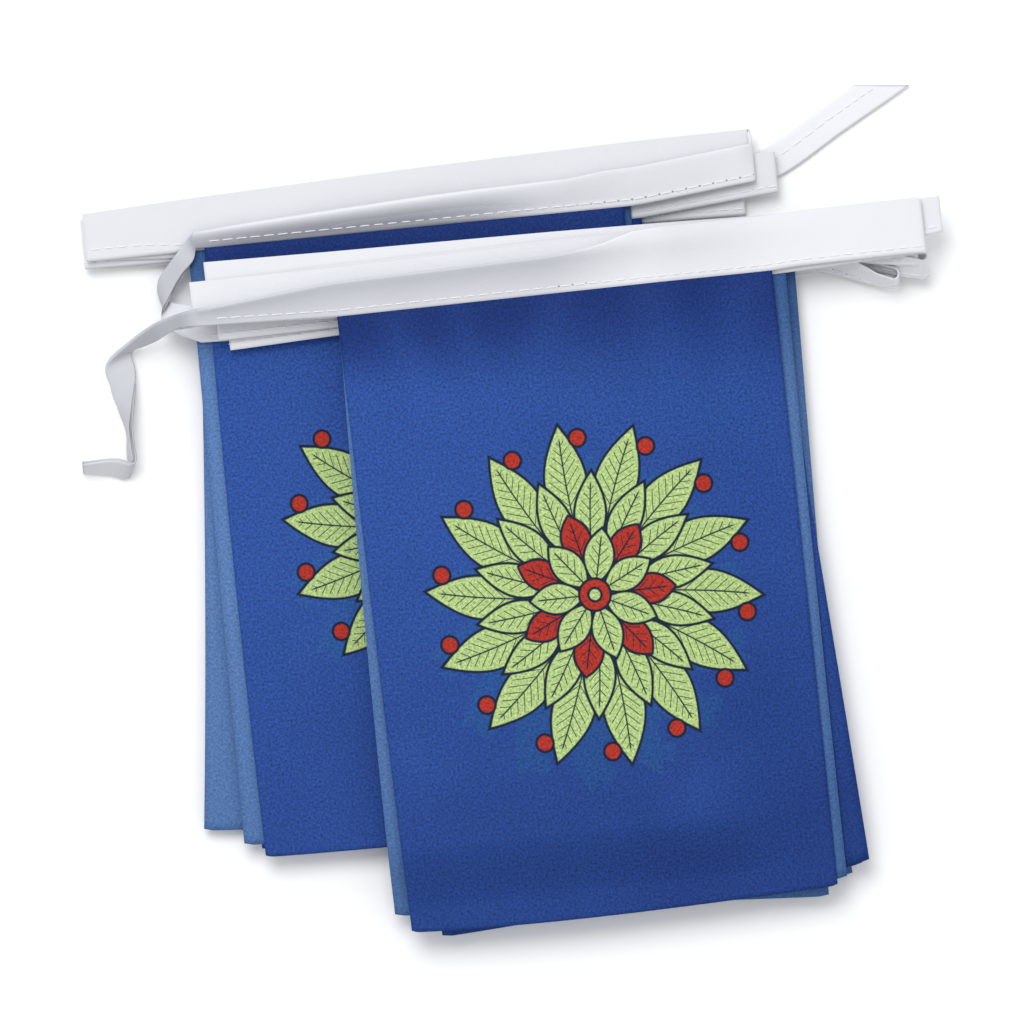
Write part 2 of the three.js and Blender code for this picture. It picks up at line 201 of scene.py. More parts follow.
# Flags: u of the head's left and right end, u and drop of the foot's left corner and of its right one,
# and how far the left side, the right side and the foot bow away from a straight line: to the right,
# to the right, and down.
BACK_FLAGS = [
    (-74, 75, -76, 209, 72, 209, 0, 0, 0.6),
    (-75, 74, -79, 205, 69, 208, -0.5, 0.4, -0.4),
    (-73, 75.8, -77, 207, 71, 208, 0.6, -0.4, 0.5),
    (-77.5, 71.5, -95.2, 200.2, 53, 209, 1.2, 0.8, 0.3),
    (-73, 76, -78, 206, 70, 208, 0.3, 0.5, -0.5),
    (-81, 72.8, -81.8, 206.5, 67, 209, 0, -0.5, 0.6),
    (-75.3, 70, -74.8, 211.3, 70, 211.8, -1, 0, 0.5),
]
FRONT_FLAGS = [
    (-75, 75, -74, 208, 75, 210.5, 0.4, 0.5, 0.7),
    (-74, 76, -71, 209, 77, 211, -0.4, -0.5, 0.3),
    (-72, 77, -69, 211, 81.5, 210.4, 0.5, -0.4, -0.4),
    (-74, 76, -70, 211.5, 79, 211, 0, 0.4, 0.6),
    (-66, 84, -71, 212, 79, 210.2, -0.4, 0, 0.4),
    (-71, 79, -66, 213, 84.9, 207.2, 0.3, -0.8, -0.3),
    (-74, 76, -77.1, 207.6, 72.5, 216.8, -1, 0.3, -0.5),
    (-74.5, 75.5, -61.6, 216.5, 87.6, 206.1, 0.5, 0.3, 0.5),
    (-71, 80.6, -70.6, 211, 79.3, 211, 0.4, -0.4, 0.4),
    (-74.7, 75.9, -71.9, 213.7, 75.8, 213.3, -0.3, 0.2, 1.6),
]

BACK.update(folds=[Fold(*row) for row in BACK_FOLDS], levels=BACK_LEVELS, flags=BACK_FLAGS)
FRONT.update(folds=[Fold(*row) for row in FRONT_FOLDS], levels=FRONT_LEVELS, flags=FRONT_FLAGS)

# The front stack lies on the back one and falls to the table past its right side and its foot.
FALL = {"right_from": 36, "right_to": 70, "foot_from": -186, "foot_to": -205.5}
# Right of its flags, its lowest levels rise a little off the table, and the others more.
RISE = {"from": 80, "to": 108, "lowest": 4, "a_little": 0.75, "more": 4.2}

# Free parts of the tape: x, y, z of the sewn edge, x, y, z of the other edge, and the strip's painted
# shade.
LINK = [
    (-109.4, 87.4, 9.8, -112.6, 91.4, 9.8, 0.5),
    (-113.8, 81.6, 8.6, -117.9, 84.8, 7.6, 0.5),
    (-117.3, 75.6, 7.6, -121.8, 78.4, 5.4, 0.5),
    (-118.6, 72.9, 7.9, -122, 75.2, 3.6, 0.55),
    (-120.1, 70.2, 8.3, -120.9, 72, 2.6, 0.7),
    (-120.6, 65.6, 8.6, -118.9, 71.4, 3.8, 0.15),
    (-117.2, 62.2, 8.8, -115.4, 70.8, 6.6, 0.1),
]
RIGHT_END = [
    (137.6, 147.2, 1.25, 118.8, 147.2, 1.25, 0),
    (114.5, 131.2, 1.25, 107.8, 139.4, 1.25, 0),
    (91.9, 115.4, 1.25, 85.4, 123.6, 1.25, 0.05),
    (84.6, 112, 1.25, 81, 122, 1.25, 0.1),
]
LEFT_END = [
    (-113.2, 63.2, 22, -113.6, 67.4, 22.9, 0.68),
    (-117.4, 61.6, 15.9, -118.6, 65.6, 19.4, 0.54),
    (-122.9, 58.6, 8, -124.3, 63, 13, 0.54),
    (-127.6, 56.8, 3.6, -131.6, 57.6, 7.8, 0.47),
    (-131, 55.4, 2, -138.8, 51.6, 2.9, 0.41),
    (-130, 48.6, 3, -138.2, 43.6, 1.5, 0.41),
    (-131, 37.1, 7, -135.6, 35, 1.4, 0.47),
    (-131.7, 28.4, 8.4, -132.9, 26.6, 1.2, 0.54),
    (-130.9, 21.6, 8.2, -132.8, 20, 1.2, 0.47),
    (-130.6, 17.2, 7.8, -132.4, 12.6, 1.2, 0.41),
    (-136, 17.9, 7.6, -138, 13.2, 1.2, 0.27),
    (-148.1, 16.8, 7.8, -148.1, 13.9, 1.1, 0.27),
]

# The top level of each stack is a strip that was folded once more along its length. Rows: u, how far
# from the sewn edge that crease lies, how steeply the strip leans in degrees, how round the crease
# is, how much painted shade greys the strip at its sewn edge, and how much that painted shade grows on
# the way to its crease (below 0 it fades).
TOP_STRIP = {
    "back": [
        (-80, 5, 50, 1.6, 0.9, -0.6),
        (-60, 6.5, 70, 2, 1.12, -0.95),
        (-30, 8.3, 78, 2.2, 1.14, -1),
        (0, 9.9, 74, 2.2, 1.08, -0.95),
        (20, 10.4, 60, 2, 0.9, -0.78),
        (40, 10.6, 34, 1.6, 0.4, -0.25),
        (54, 10.9, 28, 1.4, 0.27, -0.05),
        (62, 12.2, 24, 1.3, 0.22, 0),
        (70, 12.6, 12, 1.2, 0.2, 0),
        (116, 12.4, 8, 1.2, 0.17, 0),
    ],
    "front": [
        (-122, 5.3, 48, 1.6, 0.45, 0),
        (-76, 11.6, 34, 1.5, 0.36, 0.09),
        (0, 12.6, 30, 1.5, 0.32, 0.13),
        (16, 14.2, 27, 1.5, 0.15, 0.1),
        (34, 19.6, 22, 1.3, 0.06, 0.06),
        (80, 20, 5, 1.3, 0.05, 0),
        (129, 20, 0, 1.3, 0.05, 0),
    ],
}
# How the lean sets in: how many millimetres stay flat from the sewn edge, the power it then rises
# with, and which share of it is gone again at the crease.
STRIP_BEND = {"back": (2.4, 0.5, 0.8), "front": (0.0, 1.0, 0.0)}
print("flags:", len(BACK_FLAGS) + len(FRONT_FLAGS))
print("levels of tape:", len(BACK_LEVELS) + len(FRONT_LEVELS))

# %% [markdown]
# ## How high the cloth lies
#
# Every sheet asks one function for its height, so that a flag and the tape that holds it agree
# everywhere. A stack of thin cloth is never quite flat: each level has shallow waves of its own,
# shallower than the air to the next level, so that no two sheets meet. Long soft ridges are
# placed where the top flags show them.


# %% Smooth steps and soft interpolation
def smooth_step(value, start, end):
    """3 t squared less 2 t cubed, where t runs from 0 at start to 1 at end and stays there."""
    t = np.clip((np.asarray(value, float) - start) / (end - start), 0, 1)
    return t * t * (3 - 2 * t)


def soft_interp(x, xs, ys, soft):
    """Straight lines between the points (xs, ys), averaged over a window of soft to each side of
    x, so that each corner becomes a short parabola. Past its ends the line stays level."""
    order = np.argsort(xs)
    xs, ys = np.asarray(xs, float)[order], np.asarray(ys, float)[order]
    offsets = np.linspace(-soft, soft, 9)
    weights = np.hanning(11)[1:-1]
    lines = np.interp(np.asarray(x, float)[..., None] + offsets, xs, ys)
    return lines @ (weights / weights.sum())


# %% Height of a level
BACK_HEIGHT = len(BACK_LEVELS) * PITCH
TOP_RIDE = 0.95  # how much higher the top level's head rides, over the strip's second fold
WAVES = ((150.0, 0.12), (92.0, 0.09), (57.0, 0.06))  # length and height of each wave

# Soft ridges on the top flags: u and v of their two ends, half width, height.
RIDGES = {
    "front": [
        (-58, -1, -40, -46, 7, 0.9),
        (-34, -1, -26, -34, 6, 0.7),
        (2, -1, -12, -40, 7, 0.6),
        (34, -1, 44, -52, 9, 0.7),
        (66, -1, 58, -60, 8, 0.7),
        (-74, -150, -30, -172, 10, 0.5),
        (20, -185, 70, -160, 11, 0.6),
    ],
    "back": [
        (-70, -2, -62, -50, 6, 0.7),
        (-46, -60, -60, -120, 8, 0.3),
    ],
}


def fall(value, start, end):
    """1 before start, 0 past end, and between them the mean of a straight line and a smooth step."""
    straight = np.clip((value - start) / (end - start), 0, 1)
    return 1 - (straight + straight * straight * (3 - 2 * straight)) / 2


def waves(stack, level, u, v):
    """The sum of three sine waves, each with a bearing and a start of its own for this level. The lowest
    level lies on the floor, so its waves are shallower."""
    random = np.random.default_rng(40 + level + 20 * (stack is FRONT))
    total = 0.0
    for length, high in WAVES:
        bearing, start = random.uniform(0, 2 * math.pi, 2)
        phase = (u * math.cos(bearing) + v * math.sin(bearing)) * 2 * math.pi / length
        total = total + high * np.sin(phase + start)
    return total * (0.3 if level == 0 else 1.0)


def ridges(stack, u, v):
    """The sum of soft ridges, each a bell curve across its line that fades in and out by smooth steps."""
    total = np.zeros(np.broadcast(u, v).shape)
    for u0, v0, u1, v1, half, high in RIDGES[stack["name"]]:
        length = math.hypot(u1 - u0, v1 - v0)
        along = ((u - u0) * (u1 - u0) + (v - v0) * (v1 - v0)) / length
        across = ((v - v0) * (u1 - u0) - (u - u0) * (v1 - v0)) / length
        window = smooth_step(along, -half, half) * (1 - smooth_step(along, 0.3 * length, length + half))
        total = total + high * np.exp(-((across / half) ** 2)) * window
    return total


def height(stack, level, u, v):
    """First height plus level times pitch, plus the level's own waves. The front stack adds the back
    stack's height, as far as it lies on it, and its rise right of the flags. The top level rides a little
    higher at its head, over the strip's second fold, and carries the ridges."""
    z = FLOOR_TO_FIRST + level * PITCH + waves(stack, level, u, v)
    if stack is FRONT:
        lifted = fall(u, FALL["right_from"], FALL["right_to"]) * fall(v, FALL["foot_from"], FALL["foot_to"])
        rise = RISE["a_little"] if level < RISE["lowest"] else RISE["more"]
        z = z + BACK_HEIGHT * lifted + rise * smooth_step(u, RISE["from"], RISE["to"])
    if level == len(stack["levels"]) - 1:
        z = z + TOP_RIDE * (1 - smooth_step(-v, 0, 70)) + ridges(stack, u, v)
    return z


def to_part(stack, u, v, z):
    """Turns the stack's frame by its angle, moves it to its place, and moves it on with the solids' box."""
    turn = math.radians(stack["turn"])
    x = stack["x"] + u * math.cos(turn) - v * math.sin(turn)
    y = stack["y"] + u * math.sin(turn) + v * math.cos(turn)
    return np.stack(np.broadcast_arrays(x, y, z), -1) + MOVED


print("top of the front stack:", round(float(height(FRONT, 9, 0.0, -50.0)), 2), "mm")

# %% [markdown]
# ## Meshes from whole arrays
#
# A sheet is a grid of points on its middle surface. Two copies of the grid, moved half the thickness
# along the surface's normal to each side, become its faces, and a strip round the border closes them. The
# mesh is filled in one go with foreach_set. The signed volume tells whether the faces point outwards.


# %% Mesh helpers
def grid_quads(rows, columns, closed=False):
    """Corners of every cell of a grid of rows by columns. closed joins the last column to the first."""
    index = np.arange(rows * columns).reshape(rows, columns)
    if closed:
        index = np.concatenate([index, index[:, :1]], 1)
    return np.stack([index[:-1, :-1], index[:-1, 1:], index[1:, 1:], index[1:, :-1]], -1).reshape(-1, 4)


def signed_volume(points, quads):
    """The sum over triangles of a . (b x c) / 6, which is positive when the faces point outwards."""
    a, b, c, d = (points[quads[:, k]] for k in range(4))
    return float(np.sum(a * (np.cross(b, c) + np.cross(c, d))) / 6)


def keep_values(mesh, name, values):
    """Keeps a number for each point on the mesh, under a name that a material can read."""
    layer = mesh.attributes.new(name, "FLOAT", "POINT")
    layer.data.foreach_set("value", values.astype(np.float32).ravel())


def make_piece(name, points, quads, uv, shade, materials, slots=None, caps=(), edge=0):
    """A closed mesh from points in millimetres, four-cornered faces, and one UV pair and one shade
    for each point. slots gives each face's material, and caps are extra faces with any number of
    corners. The last edge quads and the caps are shaded flat, so that a cut edge stays crisp."""
    if signed_volume(points - points.mean(0), quads) < 0:
        quads = quads[:, ::-1]
        caps = [cap[::-1] for cap in caps]
    mesh = bpy.data.meshes.new(name)
    mesh.vertices.add(len(points))
    mesh.vertices.foreach_set("co", (points * MM).astype(np.float32).ravel())
    sizes = np.concatenate([np.full(len(quads), 4), [len(cap) for cap in caps]]).astype(np.int32)
    corners = np.concatenate([quads.ravel(), *caps]).astype(np.int32)
    mesh.loops.add(len(corners))
    mesh.loops.foreach_set("vertex_index", corners)
    mesh.polygons.add(len(sizes))
    mesh.polygons.foreach_set("loop_start", (np.cumsum(sizes) - sizes).astype(np.int32))
    if slots is not None:
        slots = np.concatenate([slots, np.zeros(len(caps), int)]).astype(np.int32)
        mesh.polygons.foreach_set("material_index", slots)
    mesh.polygons.foreach_set("use_smooth", np.arange(len(sizes)) < len(quads) - edge)
    layer = mesh.uv_layers.new(name="cloth")
    layer.data.foreach_set("uv", uv[corners].astype(np.float32).ravel())
    keep_values(mesh, "shade", shade)
    mesh.update(calc_edges=True)
    mesh.validate()
    for material in materials:
        mesh.materials.append(material)
    piece = bpy.data.objects.new(name, mesh)
    scene.collection.objects.link(piece)
    return piece


def unit(vectors):
    """Each vector divided by its length."""
    return vectors / np.maximum(np.linalg.norm(vectors, axis=-1, keepdims=True), 1e-12)


def sheet_arrays(middle, thick):
    """Both sides of a sheet and its border, from a grid of middle points (rows, columns, 3). Returns the
    points, the quads, and for each quad 0 on the upper side or the border and 1 on the lower side."""
    rows, columns = middle.shape[:2]
    normal = unit(np.cross(np.gradient(middle, axis=0), np.gradient(middle, axis=1)))
    offset = normal * thick / 2
    points = np.concatenate([(middle + offset).reshape(-1, 3), (middle - offset).reshape(-1, 3)])
    upper = grid_quads(rows, columns)
    lower = upper[:, ::-1] + rows * columns
    index = np.arange(rows * columns).reshape(rows, columns)
    ring = np.concatenate([index[0, :-1], index[:-1, -1], index[-1, :0:-1], index[:0:-1, 0]])
    ahead = np.roll(ring, -1)
    border = np.stack([ahead, ring, ring + rows * columns, ahead + rows * columns], -1)
    quads = np.concatenate([upper, lower, border])
    side = np.concatenate([np.zeros(len(upper), int), np.ones(len(lower), int), np.zeros(len(border), int)])
    return points, quads, side


print("a 3 by 4 grid has", len(grid_quads(3, 4)), "cells")

# %% [markdown]
# ## Fields: shader maths as formulas
#
# The print and the grain are worked out by shader nodes. Wiring dozens of Math nodes by hand is
# hard to read, so a small class lets a formula build them: adding two fields makes an Add node,
# and so on. What comes out is an ordinary node group with named inputs and outputs.


# %% A formula that builds Math nodes
def make_node(tree, kind, inputs, **settings):
    """A new node with its own settings. inputs gives fields, sockets or constants by name or number."""
    node = tree.nodes.new(kind)
    for name, setting in settings.items():
        setattr(node, name, setting)
    for key, value in inputs.items():
        feed(tree, value, node.inputs[key])
    return node


def feed(tree, value, socket):
    """Links a field or an output socket to an input, or sets the input to a constant."""
    value = value.socket if isinstance(value, Field) else value
    if isinstance(value, bpy.types.NodeSocket):
        tree.links.new(value, socket)
    else:
        socket.default_value = value


class Field:
    """A value that changes over the surface: a node's output socket. + - * / make new nodes."""

    def __init__(self, tree, socket):
        self.tree = tree
        self.socket = socket

    def math(self, operation, *others, clamp=False):
        """One Math node with this field as its first value."""
        inputs = dict(enumerate([self, *others]))
        node = make_node(self.tree, "ShaderNodeMath", inputs, operation=operation, use_clamp=clamp)
        return Field(self.tree, node.outputs[0])

    def __add__(self, other):
        return self.math("ADD", other)

    def __sub__(self, other):
        return self.math("SUBTRACT", other)

    def __mul__(self, other):
        return self.math("MULTIPLY", other)

    def __truediv__(self, other):
        return self.math("DIVIDE", other)

    def below(self, limit, soft):
        """1 where the field is under limit, 0 where it is over it, with an edge that is soft wide."""
        return ((self - limit) / -soft + 0.5).math("ADD", 0.0, clamp=True)


def new_group(name, inputs, outputs):
    """An empty shader node group. inputs and outputs are (name, socket type, default)."""
    tree = bpy.data.node_groups.new(name, "ShaderNodeTree")
    for in_out, sockets in (("INPUT", inputs), ("OUTPUT", outputs)):
        for label, kind, default in sockets:
            socket = tree.interface.new_socket(label, in_out=in_out, socket_type=kind)
            if default is not None:
                socket.default_value = default
    return tree, tree.nodes.new("NodeGroupInput"), tree.nodes.new("NodeGroupOutput")


FLOAT, COLOUR, VECTOR = "NodeSocketFloat", "NodeSocketColor", "NodeSocketVector"


def mix_colours(tree, amount, first, second):
    """Mixes two colours, the Mix node's inputs 6 and 7, by a field or a number."""
    inputs = {"Factor": amount, 6: first, 7: second}
    return make_node(tree, "ShaderNodeMix", inputs, data_type="RGBA").outputs[2]


def linear(code):
    """A hex colour as Blender's linear red, green, blue and alpha."""
    parts = [int(code[k : k + 2], 16) / 255 for k in (0, 2, 4)]
    return tuple(p / 12.92 if p <= 0.04045 else ((p + 0.055) / 1.055) ** 2.4 for p in parts) + (1.0,)


# %% [markdown]
# ## Cloth grain
#
# The flags are a fine polyester cloth. From a step away its weave is a speckle a little under a millimetre
# wide; closer to, it is a twill of short slanting yarns. One group gives both, as a tint and as a height.

# %% Grain group
grain, grain_in, grain_out = new_group(
    "cloth_grain",
    [("Place", VECTOR, None), ("Speckle", FLOAT, 1.0), ("Twill", FLOAT, 1.0)],
    [("Tint", FLOAT, None), ("Height", FLOAT, None)],
)


def noise(tree, vector, scale, detail=2.0, rough=0.5):
    """A Noise Texture read at vector, as a field from 0 to 1."""
    inputs = {"Vector": vector, "Scale": scale, "Detail": detail, "Roughness": rough}
    return Field(tree, make_node(tree, "ShaderNodeTexNoise", inputs).outputs[0])


def split(tree, vector):
    """A vector's X, Y and Z as fields."""
    node = make_node(tree, "ShaderNodeSeparateXYZ", {0: vector})
    return [Field(tree, node.outputs[k]) for k in range(3)]


place = grain_in.outputs["Place"]
across, along, _ = split(grain, place)
speckle = noise(grain, place, 1150.0) * 0.65 + noise(grain, place, 2400.0) * 0.35
slant = (across * 5200.0 + along * 4400.0).math("SINE")
yarn = (across * 17000.0 - along * 3000.0).math("SINE")
twill = slant * 0.5 + yarn * 0.25
tint = (speckle - 0.5) * Field(grain, grain_in.outputs["Speckle"]) + 1.0
tint = tint + twill * Field(grain, grain_in.outputs["Twill"]) * 0.12
feed(grain, tint, grain_out.inputs["Tint"])
feed(grain, speckle * 0.6 + twill * 0.2 + 0.3, grain_out.inputs["Height"])

# %% [markdown]
# ## The print
#
# Each flag carries one large print in pale green, red and navy line. A generic rosette of leaves and
# berries takes its place here, in the same colours and at the same size. It is drawn by formulas: the
# plane is folded into equal sectors round the centre, one leaf is described there by its distance to
# the outline, and each ring is painted over the last one, first its navy outline and then its fill.

# %% Print group
LIME, RED, NAVY = linear("ACC57F"), linear("A82D20"), linear("0E1B33")
printed, printed_in, printed_out = new_group(
    "rosette_print",
    [("Place", VECTOR, None), ("Cloth", COLOUR, None)],
    [("Colour", COLOUR, None), ("Mask", FLOAT, None)],
)
east, north, _ = split(printed, printed_in.outputs["Place"])
east = east * 1000.0 - 2.0  # from here on in mm, from the print's centre
north = north * 1000.0 + 102.0
far = (east * east + north * north).math("SQRT")
bearing = north.math("ARCTAN2", east)


def sector(count, turn, radius, swirl=0.0):
    """Distances along and across the nearest of count rays, from the place at radius on it, in mm."""
    step = 2 * math.pi / count
    angle = (bearing + far * swirl + turn).math("WRAP", step / 2, -step / 2)
    return far * angle.math("COSINE") - radius, far * angle.math("SINE")


def leaf(count, turn, radius, half_long, half_wide, lean=0.0, swirl=0.0):
    """Distance outside a leaf whose half width is w (1 - t t)(1 - lean t), where t runs from -1 to 1 along
    it, divided by the slope of that outline. Also the navy veins: a midrib, and side veins in chevrons."""
    along, across = sector(count, turn, radius, swirl)
    t = (along / half_long).math("MINIMUM", 1.4).math("MAXIMUM", -1.4)
    side = across.math("ABSOLUTE")
    edge = side - (t * t * -1.0 + 1.0) * (t * -lean + 1.0) * half_wide
    edge = edge / (t * t * (2 * half_wide / half_long) ** 2 + 1.0).math("SQRT")
    chevron = (along - side * 1.1).math("PINGPONG", 1.7)
    veins = side.below(0.26, 0.3).math("MAXIMUM", chevron.below(0.2, 0.3) * edge.below(-1.3, 0.3))
    return edge, veins * edge.below(-0.4, 0.3) * t.below(0.75, 0.1)


def disc(count, turn, radius, size):
    """Distance outside one of count discs."""
    along, across = sector(count, turn, radius)
    return (along * along + across * across).math("SQRT") - size, None


rings = [
    (leaf(14, 0.0, 41.0, 16.5, 6.8, 0.25, 0.002), LIME),
    (disc(14, math.pi / 14, 53.0, 2.5), RED),
    (leaf(14, math.pi / 14, 28.5, 12.5, 5.0, 0.2, 0.002), LIME),
    (leaf(7, 0.0, 18.5, 9.0, 4.6, -0.2), RED),
    (leaf(7, math.pi / 7, 13.0, 9.0, 4.8), LIME),
    (disc(1, 0.0, 0.0, 5.0), RED),
    (disc(1, 0.0, 0.0, 1.8), LIME),
]
colour = printed_in.outputs["Cloth"]
ink = None
for (edge, veins), fill in rings:
    outline = edge.below(0.9, 0.35)
    inside = edge.below(0.0, 0.35)
    colour = mix_colours(printed, outline, colour, NAVY)
    colour = mix_colours(printed, inside, colour, fill)
    if veins is not None:
        colour = mix_colours(printed, veins, colour, NAVY)
    ink = outline if ink is None else ink.math("MAXIMUM", outline)
feed(printed, colour, printed_out.inputs["Colour"])
feed(printed, ink, printed_out.inputs["Mask"])
print("nodes in the print:", len(printed.nodes))

# %% [markdown]
# ## Materials
#
# The flags are blue polyester, darker on the printed face than on the reverse, where the print shows
# through faintly. The next flag's print shows through the face as a pale teal ghost. The tape is white
# satin ribbon, and the needle left a row of small dark holes beside the sewn edge. Light and shade are
# painted into the colour: how light each part of the cloth looks was judged from the picture, and is
# kept on the mesh as the attribute "shade", which mixes a shaded and a lit copy of each cloth's colour.


# %% Materials of the cloth
BUMP_DISTANCE = 0.0002  # metres


def start_material(name, rough, specular):
    """A new material, its node tree, its shader, and its UV map's socket."""
    material = bpy.data.materials.new(name)
    material.use_nodes = True
    tree = material.node_tree
    shader = tree.nodes["Principled BSDF"]
    shader.inputs["Roughness"].default_value = rough
    shader.inputs["Specular IOR Level"].default_value = specular
    uv = make_node(tree, "ShaderNodeUVMap", {}, uv_map="cloth")
    return material, tree, shader, uv.outputs[0]


def attribute(tree, name):
    """A mesh attribute as a field."""
    return Field(tree, make_node(tree, "ShaderNodeAttribute", {}, attribute_name=name).outputs["Fac"])


def use_print(tree, place, cloth):
    """The print group, read at place over a cloth colour."""
    return make_node(tree, "ShaderNodeGroup", {"Place": place, "Cloth": cloth}, node_tree=printed)


def moved(tree, place, scale, offset):
    """Place scaled and then moved."""
    inputs = {0: place, 1: scale, 2: offset}
    return make_node(tree, "ShaderNodeVectorMath", inputs, operation="MULTIPLY_ADD").outputs[0]


def finish_cloth(tree, shader, place, cloth, speckle, twill, bump_by, creases=None):
    """Multiplies a colour by the grain's tint and bumps the surface by its height and any creases."""
    inputs = {"Place": place, "Speckle": speckle, "Twill": twill}
    weave = make_node(tree, "ShaderNodeGroup", inputs, node_tree=grain)
    inputs = {0: cloth, "Scale": weave.outputs["Tint"]}
    tint = make_node(tree, "ShaderNodeVectorMath", inputs, operation="SCALE")
    high = Field(tree, weave.outputs["Height"])
    high = high if creases is None else high + creases
    inputs = {"Strength": bump_by, "Distance": BUMP_DISTANCE, "Height": high}
    bump = make_node(tree, "ShaderNodeBump", inputs)
    feed(tree, tint.outputs[0], shader.inputs["Base Color"])
    feed(tree, bump.outputs[0], shader.inputs["Normal"])


def shaded(tree, place, at_nought, at_one, clouds):
    """A shaded and a lit copy of one cloth, mixed by the painted shade attribute and by large soft clouds.
    """
    amount = attribute(tree, "shade") + (noise(tree, place, 26.0, 3.0) - 0.5) * clouds
    return mix_colours(tree, amount.math("ADD", 0.0, clamp=True), at_nought, at_one)


def face_material():
    """Blue cloth in a shaded and a lit copy mixed by painted shade, with a ghost of the next print and then
    its own.
    """
    material, tree, shader, place = start_material("printed_cloth", 0.72, 0.2)
    # 0E2A69 is the blue in painted shade and 284C96 the blue in painted light.
    cloth = shaded(tree, place, linear("0E2A69"), linear("284C96"), 0.4)
    behind = use_print(tree, moved(tree, place, (-1.04, 1.03, 1), (0.001, 0.012, 0)), cloth)
    cloth = mix_colours(tree, Field(tree, behind.outputs["Mask"]) * 0.14, cloth, linear("1E6A8C"))
    finish_cloth(tree, shader, place, use_print(tree, place, cloth).outputs["Colour"], 2.8, 0.2, 0.35)
    return material


def reverse_material():
    """The paler side, in a shaded and a lit copy mixed by painted shade, with a third of the print's
    colour.
    """
    material, tree, shader, place = start_material("cloth_reverse", 0.78, 0.2)
    # 36588C is the paler side in painted shade and 5678AC in painted light.
    cloth = shaded(tree, place, linear("36588C"), linear("5678AC"), 0.3)
    through = use_print(tree, place, cloth).outputs["Colour"]
    cloth = mix_colours(tree, 0.35, cloth, through)
    finish_cloth(tree, shader, place, cloth, 1.9, 0.6, 0.45)
    return material


def tape_material():
    """White ribbon: painted shade takes the colour from white to grey by the shade attribute, with dots
    at the needle holes where the picture shows them."""
    material, tree, shader, place = start_material("white_tape", 0.45, 0.35)
    # E5E6EA is the ribbon in light and 82848F its painted shade.
    cloth = shaded(tree, place, linear("E5E6EA"), linear("82848F"), 0.08)
    along, _, _ = split(tree, place)
    step = (along * 1000.0 / STITCH_STEP).math("FRACT") - 0.5
    step = step.math("ABSOLUTE") * STITCH_STEP
    aside = attribute(tree, "from_seam")
    hole = (step * step + aside * aside).math("SQRT").below(0.36, 0.2)
    cloth = mix_colours(tree, hole * 0.75, cloth, linear("5C5C66"))
    creases = noise(tree, moved(tree, place, (1, 0.35, 1), (0.3, 0, 0)), 48.0, 1.5) * 9.0
    creases = creases + noise(tree, moved(tree, place, (1, 0.9, 1), (0.7, 0.2, 0)), 120.0, 1.0) * 2.0
    finish_cloth(tree, shader, place, cloth, 0.06, 0.02, 0.3, creases)
    return material


def thread_material():
    """White thread. Its UV map runs along the thread and round it, so slanting ribs are its twist, painted
    as faint shade in the grooves.
    """
    material, tree, shader, place = start_material("white_thread", 0.6, 0.3)
    along, round_it, _ = split(tree, place)
    # Painted shade in the grooves of the thread's twist.
    painted_twist_shade = (along * 9000.0 + round_it * 1000.0).math("SINE") * 0.08 + 0.92
    cloth = mix_colours(tree, painted_twist_shade, linear("8A8C94"), linear("F4F4F4"))
    feed(tree, cloth, shader.inputs["Base Color"])
    return material


face_cloth = face_material()
reverse_cloth = reverse_material()
tape_cloth = tape_material()
thread_cloth = thread_material()
print("materials:", [m.name for m in (face_cloth, reverse_cloth, tape_cloth, thread_cloth)])

# %% [markdown]
# ## The flags
#
# Each flag is one sheet, a quarter of a millimetre thick, cut straight on all four sides. Its
# head goes up into the tape. A grid between its four edges gives its plan, with a bow on each
# side, and the height function lays it on the flags below.


# %% One flag
def flag_plan(level_row, flag, rows, columns):
    """u and v over a grid. The sides run straight from head to foot plus a bow of 4 t (1 - t), the
    head lies inside the tape, and the foot bows down and rounds up a little at its two corners."""
    head_left, head_right, foot_left, drop_left, foot_right, drop_right, *bows = flag
    bow_left, bow_right, bow_foot = bows
    down = np.linspace(0, 1, rows)[:, None]
    over = np.linspace(0, 1, columns)[None, :]
    left = head_left + (foot_left - head_left) * down + bow_left * 4 * down * (1 - down)
    right = head_right + (foot_right - head_right) * down + bow_right * 4 * down * (1 - down)
    u = left + (right - left) * over
    head = level_row[0] + (level_row[1] - level_row[0]) * (u + FLAG_HALF) / (2 * FLAG_HALF) + TUCK
    foot = -(drop_left + (drop_right - drop_left) * over)
    foot = foot - bow_foot * 4 * over * (1 - over) * (1.35 - 0.7 * over)
    foot = foot + 0.7 * np.abs(2 * over - 1) ** 60
    return u, head + (foot - head) * down


def flag_shade(stack, u, v):
    """Painted light and shade on a flag: dark in the first centimetres under the tape, where the cloth
    slopes down from it, lightest under that, and then slowly darker to its foot, with painted light on
    the front's ridges. The back stack gets a little more painted sheen than the front one."""
    head = smooth_step(-v, 3.0, 30.0 + 18.0 * (u / 150 + 0.5))
    if stack is FRONT:
        light = 0.03 + (0.84 - 0.12 * u / 75) * head - 0.46 * smooth_step(-v, 55, 215)
        return light + 0.25 * ridges(stack, u, v)
    return 0.1 + 1.1 * head - 0.5 * smooth_step(-v, 40, 215)


